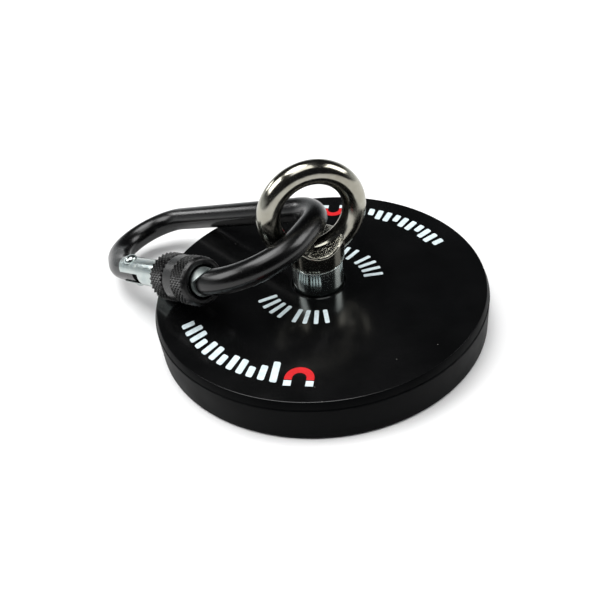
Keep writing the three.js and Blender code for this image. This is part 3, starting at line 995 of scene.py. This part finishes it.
# ---- Lock sleeve -------------------------------------------------------------------------------

SLEEVE_START = 13.4
SLEEVE_END = 25.2
SLEEVE_RADIUS = 4.75
SLEEVE_BAND_RADIUS = 4.55
SLEEVE_GROOVE_RADIUS = 4.3
SLEEVE_BORE = 2.88
SLEEVE_MOUTH = 3.25
SLEEVE_MOUTH_DEPTH = 3.5
SLEEVE_KNURL_LENGTH = 4.2
SLEEVE_BAND_LENGTH = 3.3
SLEEVE_GROOVE_WIDTH = 0.35
SLEEVE_BAND_INSET = 0.45
SLEEVE_EDGE = 0.1
KNURL_DEPTH = 0.42
KNURL_FLAT = 1.3
KNURLS_AROUND = 31
KNURL_PITCH = 0.95


def knurl(angle, station):
    """Height, from 0 to 1, of a diamond knurl: the lower of two crossed families of ridges."""
    around = angle / TURN * KNURLS_AROUND
    along = station / KNURL_PITCH
    ridges = [abs(((around + sign * along) % 1.0) - 0.5) * 2 for sign in (1, -1)]
    return min(1.0, KNURL_FLAT * min(1 - ridges[0], 1 - ridges[1]))


def sleeve_profile():
    """(station, radius, knurled) along the outside and back through the bore."""
    band_start = SLEEVE_START + SLEEVE_KNURL_LENGTH
    band_end = band_start + SLEEVE_BAND_LENGTH
    groove_end = band_start + SLEEVE_GROOVE_WIDTH
    mouth_start = SLEEVE_END - SLEEVE_MOUTH_DEPTH

    def run(first, last, radius, knurled, step):
        count = max(1, round((last - first) / step))
        return [(first + (last - first) * k / count, radius, knurled) for k in range(count + 1)]

    plain = [
        [(SLEEVE_START, SLEEVE_BORE + 0.2), (SLEEVE_START, SLEEVE_RADIUS - 0.45)],
        [(band_start, SLEEVE_GROOVE_RADIUS), (groove_end, SLEEVE_GROOVE_RADIUS)],
        [(band_end, SLEEVE_BAND_RADIUS - 0.12)],
        [
            (SLEEVE_END - 0.7, SLEEVE_RADIUS - 0.12),
            (SLEEVE_END - SLEEVE_EDGE, SLEEVE_RADIUS - 0.42),
            (SLEEVE_END, SLEEVE_RADIUS - 0.55),
            (SLEEVE_END, SLEEVE_MOUTH + 0.15),
            (SLEEVE_END - 0.15, SLEEVE_MOUTH),
            (mouth_start, SLEEVE_MOUTH),
            (mouth_start, SLEEVE_BORE),
            (SLEEVE_START + 0.2, SLEEVE_BORE),
        ],
    ]
    face, groove, band_edge, inside = [[(*point, False) for point in points] for points in plain]
    return [
        *face,
        *run(SLEEVE_START + 0.35, band_start - SLEEVE_EDGE, SLEEVE_RADIUS, True, 0.08),
        *groove,
        *run(band_start + SLEEVE_BAND_INSET, band_end - SLEEVE_EDGE, SLEEVE_BAND_RADIUS, False, 0.5),
        *band_edge,
        *run(band_end + SLEEVE_EDGE, SLEEVE_END - 0.85, SLEEVE_RADIUS, True, 0.08),
        *inside,
    ]


def make_sleeve(material):
    """The lock nut: two knurled lengths with a plain band between them."""
    segments = KNURLS_AROUND * 10
    rings = []
    for station, radius, knurled in sleeve_profile():
        ring = []
        for k in range(segments):
            angle = TURN * k / segments
            r = radius - (KNURL_DEPTH * (1 - knurl(angle, station)) if knurled else 0)
            ring.append((station, r * math.cos(angle), r * math.sin(angle)))
        rings.append(ring)
    nut = skin(rings, loop=True)
    piece("sleeve_knurled", nut, GATE_FRAME, material, "lock_sleeve", ["lock_sleeve"], sharp=50)


# ---- Gate spring -------------------------------------------------------------------------------

SPRING_START = 8.0
SPRING_END = 16.0
SPRING_TURNS = 7
SPRING_MEAN_RADIUS = 1.4
SPRING_WIRE_RADIUS = 0.2


def make_spring(material):
    """The coil spring inside the gate, at one length: it rides with the gate, though the real one shortens
    towards the nose as the gate opens.
    """
    steps = SPRING_TURNS * 24
    pitch = (SPRING_END - SPRING_START) / SPRING_TURNS
    along = Vector((1, 0, 0))
    rings = []
    for i in range(steps + 1):
        angle = TURN * SPRING_TURNS * i / steps
        out = Vector((0, math.cos(angle), math.sin(angle)))
        heading = (along * pitch / TURN + SPRING_MEAN_RADIUS * along.cross(out)).normalized()
        middle = out * SPRING_MEAN_RADIUS + along * (SPRING_START + pitch * angle / TURN)
        rings.append(circle(middle, out, heading.cross(out), SPRING_WIRE_RADIUS, 10))
    coil = piece("spring_coil", skin(rings), GATE_FRAME, material, "gate", ["gate_spring"])
    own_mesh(coil)


# ---- Pieces that keep their CAD shape ----------------------------------------------------------


def finish_hidden_nodes():
    """The plate, the magnets and the plunger keep their CAD shape and get a worked finish."""
    yoke = plain_steel("yoke_steel", (0.50, 0.50, 0.51), 0.4)
    nickel = plain_steel("nickel_plate", (0.70, 0.68, 0.63), 0.22)
    turned = plain_steel("turned_steel", (0.58, 0.58, 0.59), 0.3)
    for name, node in frame["nodes"].items():
        if name == "steel_yoke_plate":
            material = yoke
        elif name.startswith("disc_magnet"):
            material = nickel
        elif name == "spring_plunger":
            material = turned
        else:
            continue
        node.data.materials.clear()
        node.data.materials.append(material)


# ---- Stage -------------------------------------------------------------------------------------


FLOOR_RADIUS = 6.0
LIGHTS_AIM = Vector((0, 0, 0.015))

KEY_POWER = 1.9
KEY_SOFTNESS = 36
KEY_PLACE = (-30, 76, 1.0)

# Name: azimuth, elevation, distance, width, height and watts.
SOFT_BOXES = {
    "soft_box_top": (172, 77, 1.2, 0.75, 0.60, 4.2),
    "soft_box_left": (-80, 42, 0.8, 0.50, 0.40, 3.2),
    "soft_box_left_back": (-41, 21, 0.8, 0.24, 0.12, 0.7),
    "soft_box_right": (98, 34, 0.8, 0.42, 0.44, 2.9),
}

# The walls fade out over these heights and depths of the view direction.
WALL_FADE_UP = (0.12, 0.30)
WALL_FADE_FORWARD = (-0.55, 0.05)
WALL_COLOR = (0.72, 0.75, 0.76, 1)
ROOM_COLOR = (0.018, 0.019, 0.021, 1)


def make_floor():
    """A plain pale floor."""
    paint = Paint("floor_white", (0.92, 0.92, 0.92), 0.6)
    shade = paint.span(paint.noise(60.0, 2), 0.3, 0.7)
    paint.color(paint.mix(shade, (0.91, 0.91, 0.91), (0.93, 0.93, 0.93)))
    bm = bmesh.new()
    bmesh.ops.create_circle(bm, cap_ends=True, segments=96, radius=FLOOR_RADIUS)
    floor = loose_object("floor", bm)
    floor.data.materials.append(paint.material)


def aim_from(light, azimuth, elevation, distance):
    """Places a light round the object, aimed at it. Azimuth runs from +Y towards +X."""
    a, e = math.radians(azimuth), math.radians(elevation)
    away = Vector((math.sin(a) * math.cos(e), math.cos(a) * math.cos(e), math.sin(e)))
    light.location = LIGHTS_AIM + away * distance
    light.rotation_mode = "QUATERNION"
    light.rotation_quaternion = (-away).to_track_quat("-Z", "Y")
    bpy.context.scene.collection.objects.link(light)


def area_light(name, azimuth, elevation, distance, width, height, watts):
    """A rectangular soft box."""
    data = bpy.data.lights.new(name, "AREA")
    data.shape = "RECTANGLE"
    data.size = width
    data.size_y = height
    data.energy = watts
    aim_from(bpy.data.objects.new(name, data), azimuth, elevation, distance)


def make_world():
    """Pale walls behind and beside the object, and dark overhead and in front of it."""
    world = bpy.data.worlds.new("studio")
    world.use_nodes = True
    bpy.context.scene.world = world
    nodes, links = world.node_tree.nodes, world.node_tree.links
    direction = nodes.new("ShaderNodeTexCoord").outputs["Generated"]
    split = nodes.new("ShaderNodeSeparateXYZ")
    links.new(direction, split.inputs["Vector"])

    def span(value, low, high, to_low, to_high):
        node = nodes.new("ShaderNodeMapRange")
        for socket, number in zip(list(node.inputs)[1:5], (low, high, to_low, to_high)):
            socket.default_value = number
        links.new(value, node.inputs["Value"])
        return node.outputs["Result"]

    wall = nodes.new("ShaderNodeMath")
    wall.operation = "MULTIPLY"
    links.new(span(split.outputs["Z"], *WALL_FADE_UP, 1.0, 0.0), wall.inputs[0])
    links.new(span(split.outputs["Y"], *WALL_FADE_FORWARD, 0.0, 1.0), wall.inputs[1])
    mix = nodes.new("ShaderNodeMix")
    mix.data_type = "RGBA"
    links.new(wall.outputs[0], mix.inputs["Factor"])
    mix.inputs["A"].default_value = ROOM_COLOR
    mix.inputs["B"].default_value = WALL_COLOR
    links.new(mix.outputs["Result"], nodes["Background"].inputs["Color"])


def make_lights():
    """A soft key light from behind on the left, and soft boxes round the object."""
    make_world()
    sun = bpy.data.lights.new("key", "SUN")
    sun.energy = KEY_POWER
    sun.angle = math.radians(KEY_SOFTNESS)
    aim_from(bpy.data.objects.new("key", sun), *KEY_PLACE)
    for name, numbers in SOFT_BOXES.items():
        area_light(name, *numbers)


# ---- Build -------------------------------------------------------------------------------------

bpy.context.scene.view_settings.view_transform = "Standard"
make_camera()
make_coat(rubber_top(), rubber_side())
make_bush(zinc())
make_marks(ink("ink_white", (0.74, 0.85, 0.88)), ink("ink_red", (0.66, 0.006, 0.010)))
make_eye(cast_steel())
make_body(black_anodised())
bright = bright_aluminium()
make_gate(bright)
make_rivet(bright)
make_sleeve(knurled_black())
make_spring(plain_steel("spring_steel", (0.55, 0.55, 0.56), 0.3, cad_node=False))
finish_hidden_nodes()
make_floor()
make_lights()
